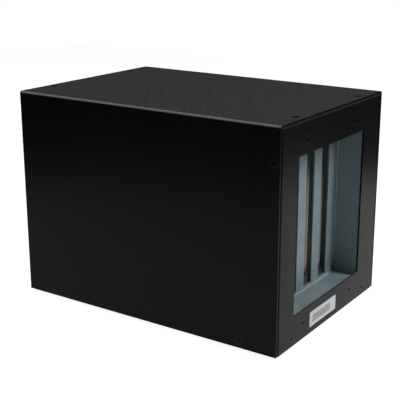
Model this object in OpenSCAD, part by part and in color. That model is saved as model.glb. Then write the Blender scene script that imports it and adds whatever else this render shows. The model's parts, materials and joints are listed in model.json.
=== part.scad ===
// Desktop chassis for expansion cards: a folded steel box with a recessed four-slot bay at one end
// and a fan, a power switch and the cable sockets at the other.

/* [Case] */
// Length over the outer faces of the two end panels
case_l = 196; // [190:1:260]
// Width over the sides of the cover
case_w = 135; // [130:1:180]
// Height of the case above its feet
case_h = 138; // [136:1:180]
// Thickness of the wrap-round cover
cover_t = 1; // [0.8:0.1:1.2]
// Outer radius of the long bends of the cover
cover_bend_r = 1.5; // [1.3:0.1:3]
// Distance of the cover's ends behind the faces of the end panels
cover_setback = 0.2; // [0.1:0.1:1]
// Thickness of the end panels
end_t = 1.2; // [1:0.1:1.5]
// Outer radius of the bends round the end panels
end_bend_r = 1.8; // [1.6:0.1:2.4]
// Length of the flanges folded back from the end panels
end_flange_l = 10; // [8:0.5:12]
// Clearance between sheets that lie inside one another
sheet_fit = 0.1; // [0.05:0.05:0.2]

/* [Base tray] */
// Thickness of the base tray
tray_t = 1; // [0.8:0.1:1.2]
// Outer radius of the bends of the tray
tray_bend_r = 1.3; // [1.2:0.1:2]
// Height of the tray's long flanges
tray_side_h = 10; // [9:0.5:14]
// Height of the tray's end flanges
tray_end_h = 7.4; // [7.2:0.1:7.5]
// Length of one air slot in the tray
vent_l = 34; // [20:1:40]
// Width of one air slot in the tray
vent_w = 3; // [2:0.1:3.5]
// Distance from one air slot to the next
vent_pitch = 7; // [5:0.5:10]
// Number of air slots in each row
vent_count = 7; // [1:1:9]
// Radius of a rubber foot where it meets the tray
foot_r = 6.5; // [4:0.5:9]
// Height of a rubber foot
foot_h = 2; // [1.5:0.1:6]
// Distance from the sides of the case to the middle of a foot
foot_inset = 16; // [12:1:30]

/* [Slot window] */
// Width of the window in the end panel
window_w = 89; // [86:0.5:90]
// Height of the window
window_h = 97.7; // [90:0.1:99]
// Height of the window's sill above the underside of the case
window_z = 18.7; // [17:0.1:20]
// Sideways place of the middle of the window
bay_y = -3; // [-6:0.5:0]

/* [Slot bracket] */
// Thickness of the folded slot bracket
bracket_t = 1.2; // [1:0.1:1.5]
// Outer radius of the folds of the bracket
bracket_bend_r = 1.8; // [1.6:0.1:2.5]
// Clear width of the recess
bay_w = 90.2; // [90:0.1:94]
// Depth of the recess, from the face of the end panel to the slot plate
bay_depth = 18.5; // [16:0.5:24]
// Height of the top of the lower ledge above the underside of the case
ledge_z = 16; // [15:0.1:16.8]
// Number of card slots
slot_count = 4; // [4:1:4]
// Distance from one card slot to the next
slot_pitch = 20.32; // [20.32:0.01:20.5]
// Width of the opening of one slot
slot_w = 10.3; // [9:0.1:12]
// Height of the sill of the slot openings
slot_z = 17.7; // [17:0.1:18.5]
// Height of the opening of one slot
slot_h = 99.8; // [96:0.1:100]
// Sideways place of the middle of the row of slots
slots_y = -5.7; // [-6.5:0.1:-4.5]
// Distance between the bracket screws across the window
bracket_screw_span = 65; // [60:1:70]
// Height of the lower bracket screws
bracket_screw_low_z = 10.3; // [10.1:0.1:11]
// Height of the upper bracket screws
bracket_screw_high_z = 124.2; // [123:0.1:126]

/* [Slot covers] */
// Width of a slot cover
blank_w = 18.4; // [17:0.1:19]
// Thickness of a slot cover
blank_t = 0.86; // [0.8:0.02:1]
// Height of a slot cover from the face of its tab to the tip of its tongue
blank_h = 120.02; // [119:0.01:120.2]
// Depth of the tab that is screwed down
tab_l = 11.4; // [11:0.1:12]
// Width of the tongue at the foot of a slot cover
tongue_w = 10.2; // [9:0.1:11]
// Length of the tongue
tongue_h = 13; // [11:0.5:14]

/* [Board] */
// Thickness of the circuit board
board_t = 1.6; // [1.2:0.1:2]
// Distance from the sides of the case to the circuit board
board_side_gap = 6.5; // [5.5:0.5:10]
// Height of the board's upper face above the underside of the case
board_z = 13.4; // [13.2:0.1:13.6]
// Height of the tab seat above the board's upper face
seat_above_board = 107; // [106.8:0.1:107.2]
// Distance from the slot covers to the card sockets
socket_back = 47; // [44:1:52]
// Length of a card socket
socket_l = 56; // [39:1:89]
// Width of a card socket
socket_w = 7.6; // [7:0.1:9]
// Height of a card socket
socket_h = 11.2; // [10:0.1:11.5]

/* [Fan] */
// Side of the square fan frame
fan_w = 80; // [70:1:80]
// Depth of the fan frame
fan_d = 25; // [20:1:26]
// Distance from the underside of the cover's top to the fan frame
fan_top_gap = 8; // [6:0.5:12]
// Distance from the inside of the cover's side to the fan frame
fan_side_gap = 8.5; // [6:0.5:14]
// Number of blades
blade_count = 7; // [5:1:9]
// Angle of the blades to the plane that they turn in
blade_pitch = 36; // [30:1:42]
// Distance between the fan's screw holes
fan_hole_span = 71.5; // [64:0.5:71.5]

/* [Switch and sockets] */
// Distance from the side of the case to the middle of the power switch, its lamp and the power inlet
power_in = 19.5; // [18.5:0.5:23]
// Height of the middle of the power switch
switch_z = 36.5; // [36:0.5:60]
// Height of the frame of the power switch
switch_h = 21; // [20.5:0.1:24]
// Width of the frame of the power switch
switch_w = 15; // [14.5:0.1:18]
// Angle of the rocker to either side of its middle
rocker_tilt = 9; // [6:0.5:10]
// Width of the link socket inside its shell
link_w = 19; // [16:0.5:24]
// Height of the link socket inside its shell
link_h = 7.2; // [6:0.1:9]
// Distance from the middle of the power inlet to the middle of the link socket
link_in = 36; // [30:1:44]
// Radius of the power inlet's hole
inlet_r = 3.2; // [2.8:0.1:3.4]

/* [Hidden] */
$fn = 48;

// overrun of every cut past the face that it leaves
over = 1;
// clearance round a screw's head and shank
screw_fit = 0.05;
// running clearance of a shaft in its bore
run_fit = 0.05;

// faces that the sheets share
half_l = case_l / 2;
half_w = case_w / 2;
cover_l = case_l - 2 * cover_setback;
wrap_y = half_w - cover_t - sheet_fit;
wrap_z = case_h - cover_t - sheet_fit;
panel_x = half_l - end_t;
// place of the rows of air slots along the case, and taper of a foot
vent_place_share = 0.2;
foot_taper_share = 0.86;
flange_gap = 0.5;
flange_z = tray_side_h + flange_gap;
corner_relief = 4;

// countersunk screws of the case
csk_head_r = 2.7;
csk_h = 1;
csk_shank_r = 1.5;
csk_l = 5;
drive_l = 2.8;
drive_w = 0.7;
drive_h = 0.7;
pan_top_share = 0.72;

// places of the screws of the case
side_screw_x = 3.9;
side_screw_drop = 21.3;
side_screw_z = case_h - side_screw_drop;
low_screw_x = 25.7;
low_screw_z = 4.6;
top_screw_x = 5.7;
top_screw_y = 27;
end_screw_y = 18.5;
end_screw_z = 5.2;

// planes of the slot bay
plate_x = half_l - bay_depth;
plate_back_x = plate_x - bracket_t;
seat_z = board_z + seat_above_board;
bay_out_w = bay_w + 2 * bracket_t;
bracket_flange_z = tray_end_h + sheet_fit;
bracket_flange_top = bracket_screw_high_z + corner_relief;
bracket_flange_w = bracket_screw_span + 4 * corner_relief;
slot_first_y = slots_y - slot_pitch * (slot_count - 1) / 2;

// slot covers and their screws
blank_x = plate_back_x - sheet_fit;
blank_bend_r = blank_t + bracket_bend_r + sheet_fit;
tab_screw_x = 6.4;
tab_screw_y = 5.6;
tab_notch_r = 2.2;
tab_hole_r = 1.6;
tab_head_r = 3.4;
tab_head_h = 2.2;
tab_shank_l = 3.6;
tongue_bevel = 2.2;
tip_bevel = 1.2;
// bead pressed along a slot cover
bead_w = 5.5;
bead_h = 0.45;
bead_end = 6;
bead_run = 1.6;
bead_r = (pow(bead_w / 2, 2) + pow(bead_h, 2)) / (2 * bead_h);

// rail that holds the tongues
guide_t = 1;
guide_z = 8.6;
guide_foot_l = 8;
guide_gap = 0.5;
guide_reach = 1.4;
guide_end = 6;

// circuit board, standoffs and screws
board_gap = 1.6;
board_front_x = blank_x - blank_t - board_gap;
board_back_x = -panel_x + board_gap;
board_l = board_front_x - board_back_x;
board_w = case_w - 2 * board_side_gap;
standoff_h = board_z - board_t - tray_t;
standoff_r = 2.9;
standoff_stub_r = 2;
standoff_bore_r = 1.3;
standoff_in = 4.5;
board_hole_r = 1.6;
board_head_r = 2.8;
board_head_h = 1.8;
board_shank_r = 1.25;
board_shank_l = 6;
board_slot_bevel = 3;

// card sockets
socket_x = blank_x - socket_back;
card_y = 6.3;
socket_slot_w = 1.8;
socket_slot_h = 8.4;
socket_wall = 1.9;
socket_key_x = 11.9;
socket_key_w = 1.8;
socket_step = 0.9;
socket_step_z = 3.2;
hook_l = 3.2;
hook_h = 3.4;
hook_w = 4;

// parts on the board
chip_w = 23;
chip_h = 2.2;
chip_lid_w = 15;
chip_lid_h = 0.5;
sink_w = 30;
sink_base_h = 1.6;
sink_h = 7;
fin_t = 1;
fin_count = 8;
cap_r = 4;
cap_h = 10.5;
cap_base_h = 1;
cap_groove = 0.4;
cap_in = 8;
cap_pitch = 9.5;
cap_count = 3;
coil_w = 10;
coil_h = 5.2;
coil_edge = 2;
coil_count = 2;
header_w = 10.2;
header_d = 5.8;
header_h = 7.2;
header_wall = 0.9;
header_in = 10;
pin_w = 0.64;
pin_h = 6;
pin_pitch = 2.54;
pin_count = 3;

// fan
fan_y = half_w - cover_t - fan_side_gap - fan_w / 2;
fan_z = case_h - cover_t - fan_top_gap - fan_w / 2;
fan_corner_r = 4;
fan_flange_t = 4;
fan_duct_t = 1.1;
fan_duct_in = 0.2;
fan_duct_r = fan_w / 2 - fan_duct_in;
fan_bore_r = fan_duct_r - fan_duct_t;
fan_hole_r = 2.15;
fan_boss_r = 3.7;
fan_strut_w = 4;
fan_strut_t = 2.8;
fan_strut_count = 4;
fan_strut_turn = 20;
fan_motor_r = 19;
rotor_gap = 0.9;
rotor_r = fan_bore_r - rotor_gap;
rotor_front = 2.2;
hub_r = 18.2;
hub_edge = 2;
hub_gap = 0.3;
hub_l = fan_d - rotor_front - fan_strut_t - hub_gap;
shaft_r = 1.5;
shaft_bore_l = 2.2;
shaft_gap = 0.2;
blade_t = 1.5;
blade_camber_r = 34;
blade_chord = 27;
blade_root_share = 0.6;
fan_screw_head_r = 3.7;
fan_screw_l = 9;

// grille in front of the fan
grille_rings = 6;
grille_slot = 3.6;
grille_web = 2.2;
grille_spoke = 4.6;
grille_core_r = 5;

// power switch
bezel_t = 1.8;
bezel_edge = 0.8;
switch_rim = 2.4;
switch_in_h = switch_h - 2 * switch_rim;
switch_in_w = switch_w - 2 * switch_rim;
switch_neck_h = switch_h - switch_rim / 2;
switch_neck_w = switch_w - switch_rim;
switch_d = 13;
switch_well = 6.5;
rocker_gap = 0.35;
rocker_w = switch_in_w - 2 * rocker_gap;
rocker_half = 7.1;
rocker_pivot = 0.4;
rocker_rise = 2.2;
rocker_depth = 2.6;
rocker_pin_r = 1;
rocker_pin_l = 0.9;
pin_bore_l = 1.1;
rocker_tip = rocker_rise + rocker_half * tan(rocker_tilt);
blade_w = 4.8;
blade_tab_t = 0.8;
blade_tab_l = 8;
blade_tab_pitch = 7;
blade_tab_count = 2;

// reach of the raised end of the rocker behind the case, and the shift that centres the whole
rocker_reach = rocker_tip * cos(rocker_tilt) + rocker_half * sin(rocker_tilt) - rocker_pivot;
case_shift = rocker_reach / 2;

// lamp
lamp_r = 1.5;
lamp_rim_r = 1.9;
lamp_rim_t = 0.8;
lamp_body_l = 3;
lamp_out = 0.6;
lamp_z = switch_z + switch_h / 2 + 7;

// power inlet and link socket
inlet_w = 10;
inlet_h = 11;
inlet_l = 13.6;
inlet_nose_r = 4.5;
inlet_nose_gap = 0.1;
inlet_bore_l = 9.5;
inlet_pin_r = 1.05;
inlet_pin_back = 1.2;
link_t = 0.6;
link_l = 24;
link_insert_l = 9;
link_slot_h = 1.4;
link_slot_w = 14;
link_nose_w = 16;
link_nose_h = 4.6;
link_nose_l = 2.4;

// places of the sockets at the far end
power_y = power_in - half_w;
link_y = power_y + link_in;
inlet_x = end_t / 2 - half_l;

// places on the board, with the least distance between its parts
part_gap = 3;
socket_end_x = socket_x - socket_l - hook_l;
chip_x = socket_end_x - part_gap / 2 - sink_w / 2;
chip_y = slot_first_y + slot_pitch * (slot_count - 1) - card_y;
cap_x = inlet_x + end_t / 2 + board_gap + inlet_l + part_gap + cap_r;
coil_x = cap_x + cap_r + part_gap + coil_w / 2;
header_x = board_back_x + standoff_in + standoff_r + header_d;
header_y = board_w / 2 - header_in;
standoff_xs = [board_back_x + standoff_in, socket_end_x - part_gap - standoff_r,
    socket_x + part_gap + standoff_r, board_front_x - standoff_in];

function slot_y(i) = slot_first_y + slot_pitch * i;

// Outlines
module arch_2d(w, h, r) {
    translate([-w / 2, 0]) square([w, h - r]);
    translate([r - w / 2, 0]) square([w - 2 * r, h]);
    for (side = [-1, 1]) translate([side * (w / 2 - r), h - r]) circle(r);
}

module round_rect_2d(w, h, r) {
    square([w - 2 * r, h], center = true);
    square([w, h - 2 * r], center = true);
    for (sx = [-1, 1], sy = [-1, 1]) translate([sx * (w / 2 - r), sy * (h / 2 - r)]) circle(r);
}

// Solid from x = 0 to its face at x = d, with rounded edges round the face
module face_block(d, w, z0, z1, r, low) {
    intersection() {
        translate([0, 0, z0]) linear_extrude(z1 - z0) rotate(-90) arch_2d(w, d, r);
        rotate([90, 0, 0]) linear_extrude(w, center = true) {
            translate([0, low ? z0 + r : z0]) square([d, low ? z1 - z0 - 2 * r : z1 - z0 - r]);
            translate([0, z0]) square([d - r, z1 - z0]);
            translate([d - r, z1 - r]) circle(r);
            if (low) translate([d - r, z0 + r]) circle(r);
        }
    }
}

// Folded sheet: a face at x = d with flanges along its sides and top, and its foot where low
module dish(d, w, z0, z1, r, t, low) {
    difference() {
        face_block(d, w, z0, z1, r, low);
        translate([-over, 0, 0])
            face_block(d - t + over, w - 2 * t, low ? z0 + t : z0 - over, z1 - t, r - t, low);
    }
}

// Countersunk hole and screw, both with the outer face at z = 0
module csk_hole(depth, head_r = csk_head_r, shank_r = csk_shank_r) {
    translate([0, 0, -csk_h]) cylinder(h = csk_h, r1 = shank_r + screw_fit, r2 = head_r + screw_fit);
    cylinder(h = over, r = head_r + screw_fit);
    translate([0, 0, -depth]) cylinder(h = depth, r = shank_r + screw_fit);
}

module cross_drive() {
    for (turn = [0, 90]) rotate(turn) translate([-drive_l / 2, -drive_w / 2, -drive_h])
        cube([drive_l, drive_w, drive_h + over]);
}

module csk_screw(l = csk_l, head_r = csk_head_r, shank_r = csk_shank_r) {
    difference() {
        union() {
            translate([0, 0, -csk_h]) cylinder(h = csk_h, r1 = shank_r, r2 = head_r);
            translate([0, 0, -l]) cylinder(h = l - csk_h, r = shank_r);
        }
        cross_drive();
    }
}

module pan_screw(head_r, head_h, shank_r, shank_l) {
    difference() {
        union() {
            cylinder(h = head_h / 2, r = head_r);
            translate([0, 0, head_h / 2]) cylinder(h = head_h / 2, r1 = head_r, r2 = head_r * pan_top_share);
            translate([0, 0, -shank_l]) cylinder(h = shank_l, r = shank_r);
        }
        translate([0, 0, head_h]) cross_drive();
    }
}

// Places of the fasteners, each with z pointing out of the case
module at_side_screws() {
    for (side = [-1, 1], end = [-1, 1]) {
        translate([end * (half_l - side_screw_x), side * half_w, side_screw_z]) rotate([-90 * side, 0, 0])
            children();
        translate([end * (half_l - low_screw_x), side * half_w, low_screw_z]) rotate([-90 * side, 0, 0])
            children();
    }
}

module at_top_screws() {
    for (side = [-1, 1], end = [-1, 1])
        translate([end * (half_l - top_screw_x), side * (half_w - top_screw_y), case_h]) children();
}

module at_end_screws() {
    for (side = [-1, 1], end = [-1, 1])
        translate([end * half_l, side * (half_w - end_screw_y), end_screw_z]) rotate([0, 90 * end, 0])
            children();
}

module at_bracket_screws() {
    for (side = [-1, 1], z = [bracket_screw_low_z, bracket_screw_high_z])
        translate([half_l, bay_y + side * bracket_screw_span / 2, z]) rotate([0, 90, 0]) children();
}

module at_fan_screws() {
    for (sy = [-1, 1], sz = [-1, 1])
        translate([-half_l, fan_y + sy * fan_hole_span / 2, fan_z + sz * fan_hole_span / 2])
            rotate([0, -90, 0]) children();
}

module at_standoffs() {
    for (x = standoff_xs, side = [-1, 1]) translate([x, side * (board_w / 2 - standoff_in), 0]) children();
}

module at_tab_screws() {
    for (i = [0 : slot_count - 1])
        translate([blank_x - blank_t + tab_screw_x, slot_y(i) + tab_screw_y, seat_z + blank_t]) children();
}

// Sheet-metal shell
module cover() color([0.06, 0.06, 0.07]) difference() {
    translate([-cover_l / 2, 0, 0]) rotate([90, 0, 90]) linear_extrude(cover_l) difference() {
        arch_2d(case_w, case_h, cover_bend_r);
        translate([0, -over])
            arch_2d(case_w - 2 * cover_t, case_h - cover_t + over, cover_bend_r - cover_t);
    }
    at_side_screws() csk_hole(csk_l);
    at_top_screws() csk_hole(csk_l);
}

module vent_row() {
    for (i = [0 : vent_count - 1]) translate([0, (i - (vent_count - 1) / 2) * vent_pitch, 0]) {
        cube([vent_l - vent_w, vent_w, 2 * over + tray_t], center = true);
        for (end = [-1, 1]) translate([end * (vent_l - vent_w) / 2, 0, 0])
            cylinder(h = 2 * over + tray_t, d = vent_w, center = true);
    }
}

module base_tray() color([0.07, 0.07, 0.08]) difference() {
    translate([0, 0, tray_side_h]) rotate([0, 90, 0])
        dish(tray_side_h, 2 * wrap_y, -panel_x, panel_x, tray_bend_r, tray_t, true);
    // lower end flanges, open at the corners
    for (end = [-1, 1]) {
        translate([end * panel_x, 0, tray_end_h + case_h / 2])
            cube([4 * tray_t, 2 * wrap_y - 2 * corner_relief, case_h], center = true);
        for (side = [-1, 1]) translate([end * panel_x, side * wrap_y, tray_bend_r + case_h / 2])
            cube([2 * corner_relief, 2 * corner_relief, case_h], center = true);
    }
    for (end = [-1, 1]) translate([end * case_l * vent_place_share, 0, tray_t / 2]) vent_row();
    at_side_screws() csk_hole(2 * csk_l);
    at_end_screws() csk_hole(2 * csk_l);
    at_standoffs() translate([0, 0, -over]) cylinder(h = tray_t + 2 * over, r = standoff_stub_r + screw_fit);
}

// End panel with its face towards +x
module end_panel_blank() {
    difference() {
        translate([half_l - end_flange_l, 0, 0])
            dish(end_flange_l, 2 * wrap_y, 0, wrap_z, end_bend_r, end_t, false);
        // flanges end above the tray and are open at the upper corners
        translate([panel_x - end_flange_l, 0, flange_z / 2 - over / 2])
            cube([2 * end_flange_l, case_w, flange_z + over], center = true);
        for (side = [-1, 1])
            translate([half_l - end_bend_r - end_flange_l / 2 - over / 2, side * wrap_y, wrap_z])
                cube([end_flange_l + over, 2 * corner_relief, 2 * corner_relief], center = true);
    }
}

module slot_end_panel() color([0.08, 0.08, 0.09]) difference() {
    end_panel_blank();
    translate([half_l, bay_y, window_z + window_h / 2])
        cube([2 * end_t + over, window_w, window_h], center = true);
    at_bracket_screws() csk_hole(csk_l);
    at_end_screws() csk_hole(csk_l);
    at_side_screws() csk_hole(csk_l);
    at_top_screws() csk_hole(csk_l);
}

module grille_cut() {
    difference() {
        for (i = [0 : grille_rings - 1]) difference() {
            inner_r = grille_core_r + i * (grille_slot + grille_web);
            cylinder(h = 2 * over + end_t, r = inner_r + grille_slot, center = true);
            cylinder(h = 4 * over + end_t, r = inner_r, center = true);
        }
        for (turn = [45, 135]) rotate(turn)
            cube([2 * fan_w, grille_spoke, 4 * over + 2 * end_t], center = true);
    }
}

module port_end_panel() color([0.08, 0.08, 0.09]) difference() {
    rotate(180) end_panel_blank();
    translate([end_t / 2 - half_l, fan_y, fan_z]) rotate([0, 90, 0]) grille_cut();
    at_fan_screws() csk_hole(fan_screw_l, fan_screw_head_r, fan_hole_r);
    at_end_screws() csk_hole(csk_l);
    at_side_screws() csk_hole(csk_l);
    at_top_screws() csk_hole(csk_l);
    translate([-half_l, power_y, switch_z])
        cube([4 * end_t, switch_neck_w + 2 * sheet_fit, switch_neck_h + 2 * sheet_fit], center = true);
    translate([-half_l, power_y, lamp_z]) rotate([0, 90, 0])
        cylinder(h = 4 * end_t, r = lamp_r + sheet_fit, center = true);
    translate([-half_l, power_y, board_z + inlet_h / 2]) rotate([0, 90, 0])
        cylinder(h = 4 * end_t, r = inlet_nose_r + sheet_fit, center = true);
    translate([-half_l, link_y, board_z + link_h / 2 + link_t])
        cube([4 * end_t, link_w + 2 * (link_t + sheet_fit), link_h + 2 * (link_t + sheet_fit)], center = true);
}

// Folded slot bracket: slot plate, side walls, ledge, tab shelf and two screw flanges
module slot_bracket() color([0.62, 0.66, 0.69]) difference() {
    union() {
        translate([panel_x, bay_y, 0]) rotate(180)
            dish(panel_x - plate_back_x, bay_out_w, ledge_z - bracket_t, seat_z,
                bracket_bend_r, bracket_t, true);
        translate([panel_x - bracket_t, bay_y - bracket_flange_w / 2, bracket_flange_z])
            cube([bracket_t, bracket_flange_w, ledge_z - bracket_flange_z]);
        translate([panel_x - bracket_t, bay_y - bracket_flange_w / 2, seat_z - bracket_t])
            cube([bracket_t, bracket_flange_w, bracket_flange_top - seat_z + bracket_t]);
    }
    for (i = [0 : slot_count - 1]) translate([plate_back_x - over, slot_y(i) - slot_w / 2, slot_z])
        cube([bracket_t + 2 * over, slot_w, slot_h]);
    at_bracket_screws() csk_hole(csk_l);
    at_tab_screws() translate([0, 0, -2 * tab_shank_l])
        cylinder(h = 3 * tab_shank_l, r = tab_hole_r + screw_fit);
}

// Rail on the tray floor with a slot for each tongue
module bracket_guide() color([0.62, 0.66, 0.69]) difference() {
    guide_w = slot_pitch * (slot_count - 1) + tongue_w + 2 * guide_end;
    back_x = blank_x - blank_t - guide_reach;
    front_x = blank_x + guide_gap + guide_t;
    translate([0, slots_y - guide_w / 2, tray_t]) {
        translate([front_x - guide_t, 0, 0]) cube([guide_t, guide_w, guide_z - tray_t]);
        translate([back_x, 0, guide_z - tray_t - guide_t]) cube([front_x - back_x, guide_w, guide_t]);
        translate([front_x - guide_t, 0, 0]) cube([guide_foot_l, guide_w, guide_t]);
    }
    for (i = [0 : slot_count - 1])
        translate([blank_x - blank_t - guide_gap / 2, slot_y(i) - (tongue_w + guide_gap) / 2, tray_t + guide_t])
            cube([blank_t + guide_gap, tongue_w + guide_gap, guide_z]);
}

// Blank slot cover: plate behind the slot, tab on the shelf, tongue in the rail
module slot_cover(i) color([0.72, 0.71, 0.68]) translate([0, slot_y(i), 0]) {
    top_z = seat_z + blank_t;
    tip_z = top_z - blank_h;
    difference() {
        union() {
            intersection() {
                translate([blank_x - blank_t, 0, 0]) rotate([90, 0, 0]) linear_extrude(blank_w, center = true)
                    difference() {
                        blank_side_2d(tab_l, tip_z, top_z, blank_bend_r);
                        translate([blank_t, 0])
                            blank_side_2d(tab_l + over, tip_z - over, seat_z, blank_bend_r - blank_t);
                    }
                rotate([90, 0, 90]) linear_extrude(case_l, center = true) translate([0, tip_z]) blank_front_2d();
            }
            translate([blank_x, 0, 0]) bead();
        }
        translate([blank_x - blank_t, 0, 0]) bead();
        translate([blank_x - blank_t + tab_screw_x, tab_screw_y, seat_z - over]) {
            cylinder(h = blank_t + 2 * over, r = tab_notch_r);
            translate([-tab_notch_r, 0, 0]) cube([2 * tab_notch_r, blank_w, blank_t + 2 * over]);
        }
    }
}

// Low arched bead with sloping ends, proud of the plane x = 0 and rooted behind it
module bead() {
    z0 = slot_z + bead_end;
    z1 = slot_z + slot_h - bead_end;
    intersection() {
        translate([0, 0, slot_z]) linear_extrude(slot_h) intersection() {
            translate([bead_h - bead_r, 0]) circle(bead_r);
            translate([-bead_h, -bead_w]) square([3 * bead_h, 2 * bead_w]);
        }
        rotate([90, 0, 0]) linear_extrude(2 * bead_w, center = true)
            polygon([[-bead_h, z0 - bead_run], [2 * bead_h, z0 + 2 * bead_run],
                [2 * bead_h, z1 - 2 * bead_run], [-bead_h, z1 + bead_run]]);
    }
}

module blank_side_2d(l, z0, z1, r) {
    translate([0, z0]) square([l, z1 - z0 - r]);
    translate([r, z0]) square([l - r, z1 - z0]);
    translate([r, z1 - r]) circle(r);
}

module blank_front_2d() {
    polygon([[-tongue_w / 2 + tip_bevel, 0], [tongue_w / 2 - tip_bevel, 0], [tongue_w / 2, tip_bevel],
        [tongue_w / 2, tongue_h - tongue_bevel], [blank_w / 2, tongue_h], [blank_w / 2, blank_h + over],
        [-blank_w / 2, blank_h + over], [-blank_w / 2, tongue_h], [-tongue_w / 2, tongue_h - tongue_bevel],
        [-tongue_w / 2, tip_bevel]]);
}

// Fasteners
module slot_cover_screws() color([0.75, 0.74, 0.7])
    at_tab_screws() pan_screw(tab_head_r, tab_head_h, tab_hole_r, tab_shank_l);

module bracket_screws() color([0.05, 0.05, 0.05]) at_bracket_screws() csk_screw();

module cover_side_screws() color([0.05, 0.05, 0.05]) at_side_screws() csk_screw();

module cover_top_screws() color([0.05, 0.05, 0.05]) at_top_screws() csk_screw();

module tray_end_screws() color([0.05, 0.05, 0.05]) at_end_screws() csk_screw();

module fan_screws() color([0.05, 0.05, 0.05])
    at_fan_screws() csk_screw(fan_screw_l, fan_screw_head_r, fan_hole_r - screw_fit);

module board_screws() color([0.78, 0.77, 0.73]) at_standoffs() translate([0, 0, board_z])
    pan_screw(board_head_r, board_head_h, board_shank_r, board_shank_l);

// Rubber foot, wider at the tray
module foot(sx, sy) color([0.04, 0.04, 0.04]) {
    translate([sx * (half_l - foot_inset), sy * (half_w - foot_inset), -foot_h])
        cylinder(h = foot_h, r1 = foot_r * foot_taper_share, r2 = foot_r);
}

// Circuit board and what stands on it
module backplane_board() color([0.05, 0.27, 0.16]) difference() {
    translate([board_back_x, 0, board_z - board_t]) linear_extrude(board_t) difference() {
        translate([0, -board_w / 2]) square([board_l, board_w]);
        // bevelled front corners beside the slot bay
        for (side = [-1, 1]) translate([board_l, side * board_w / 2]) rotate(45)
            square(board_slot_bevel, center = true);
    }
    at_standoffs() translate([0, 0, board_z - board_t - over]) cylinder(h = board_t + 2 * over, r = board_hole_r);
}

module board_standoffs() color([0.8, 0.68, 0.4]) at_standoffs() difference() {
    union() {
        translate([0, 0, tray_t]) cylinder(h = standoff_h, r = standoff_r, $fn = 6);
        cylinder(h = tray_t, r = standoff_stub_r);
    }
    translate([0, 0, board_z - board_t - board_shank_l]) cylinder(h = board_shank_l + over, r = standoff_bore_r);
}

module card_socket(i) color([0.1, 0.1, 0.11]) {
    inner_l = socket_l - 2 * socket_wall;
    translate([socket_x - socket_l, slot_y(i) - card_y, board_z]) difference() {
        union() {
            translate([0, -socket_w / 2, 0]) cube([socket_l, socket_w, socket_step_z]);
            translate([0, socket_step - socket_w / 2, 0]) cube([socket_l, socket_w - 2 * socket_step, socket_h]);
            // hook that a card's heel clips under
            translate([-hook_l, -hook_w / 2, 0]) cube([hook_l, hook_w, hook_h]);
            translate([-hook_l, -hook_w / 2, 0]) cube([socket_wall, hook_w, socket_h]);
        }
        difference() {
            translate([socket_wall, -socket_slot_w / 2, socket_h - socket_slot_h])
                cube([inner_l, socket_slot_w, socket_slot_h + over]);
            translate([socket_l - socket_key_x - socket_key_w, -socket_w / 2, 0])
                cube([socket_key_w, socket_w, socket_h]);
        }
    }
}

module bridge_chip() color([0.12, 0.12, 0.12]) translate([chip_x, chip_y, board_z]) {
    translate([-chip_w / 2, -chip_w / 2, 0]) cube([chip_w, chip_w, chip_h - chip_lid_h]);
    translate([-chip_lid_w / 2, -chip_lid_w / 2, 0]) cube([chip_lid_w, chip_lid_w, chip_h]);
}

module bridge_heatsink() color([0.6, 0.62, 0.64])
translate([chip_x - sink_w / 2, chip_y - sink_w / 2, board_z + chip_h]) {
    cube([sink_w, sink_w, sink_base_h]);
    for (i = [0 : fin_count - 1]) translate([0, i * (sink_w - fin_t) / (fin_count - 1), 0])
        cube([sink_w, fin_t, sink_h]);
}

module capacitors() color([0.15, 0.18, 0.3])
    for (i = [0 : cap_count - 1]) translate([cap_x, cap_in - board_w / 2 + i * cap_pitch, board_z])
        rotate_extrude() difference() {
            square([cap_r, cap_h]);
            translate([cap_r, cap_base_h + cap_groove]) circle(cap_groove);
        }

module power_coils() color([0.2, 0.2, 0.21])
    for (i = [0 : coil_count - 1]) translate([coil_x, slot_y(i) - card_y + slot_pitch / 2, board_z])
        linear_extrude(coil_h) round_rect_2d(coil_w, coil_w, coil_edge);

module fan_header() color([0.9, 0.89, 0.84]) translate([header_x, header_y, board_z]) {
    difference() {
        translate([-header_d / 2, -header_w / 2, 0]) cube([header_d, header_w, header_h]);
        translate([header_wall - header_d / 2, header_wall - header_w / 2, header_wall])
            cube([header_d, header_w - 2 * header_wall, header_h]);
    }
    for (i = [0 : pin_count - 1])
        translate([-pin_w / 2, (i - (pin_count - 1) / 2) * pin_pitch - pin_w / 2, 0]) cube([pin_w, pin_w, pin_h]);
}

// Fan, drawn along +z with its outlet face at z = 0
module at_fan() {
    translate([-panel_x, fan_y, fan_z]) rotate([0, 90, 0]) children();
}

module fan_frame() color([0.09, 0.09, 0.1]) at_fan() difference() {
    union() {
        difference() {
            union() {
                for (z = [0, fan_d - fan_flange_t]) translate([0, 0, z]) linear_extrude(fan_flange_t)
                    round_rect_2d(fan_w, fan_w, fan_corner_r);
                cylinder(h = fan_d, r = fan_duct_r);
                for (sx = [-1, 1], sy = [-1, 1]) translate([sx * fan_hole_span / 2, sy * fan_hole_span / 2, 0])
                    cylinder(h = fan_d, r = fan_boss_r);
            }
            translate([0, 0, -over]) cylinder(h = fan_d + 2 * over, r = fan_bore_r);
        }
        // motor seat and the struts that carry it
        translate([0, 0, fan_d - fan_strut_t]) linear_extrude(fan_strut_t) {
            circle(fan_motor_r);
            for (i = [0 : fan_strut_count - 1]) rotate(i * 360 / fan_strut_count + fan_strut_turn)
                translate([0, -fan_strut_w / 2]) square([fan_duct_r - fan_duct_t / 2, fan_strut_w]);
        }
    }
    for (sx = [-1, 1], sy = [-1, 1]) translate([sx * fan_hole_span / 2, sy * fan_hole_span / 2, -over])
        cylinder(h = fan_d + 2 * over, r = fan_hole_r);
    translate([0, 0, fan_d - fan_strut_t - over]) cylinder(h = shaft_bore_l + over, r = shaft_r + run_fit);
}

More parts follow.
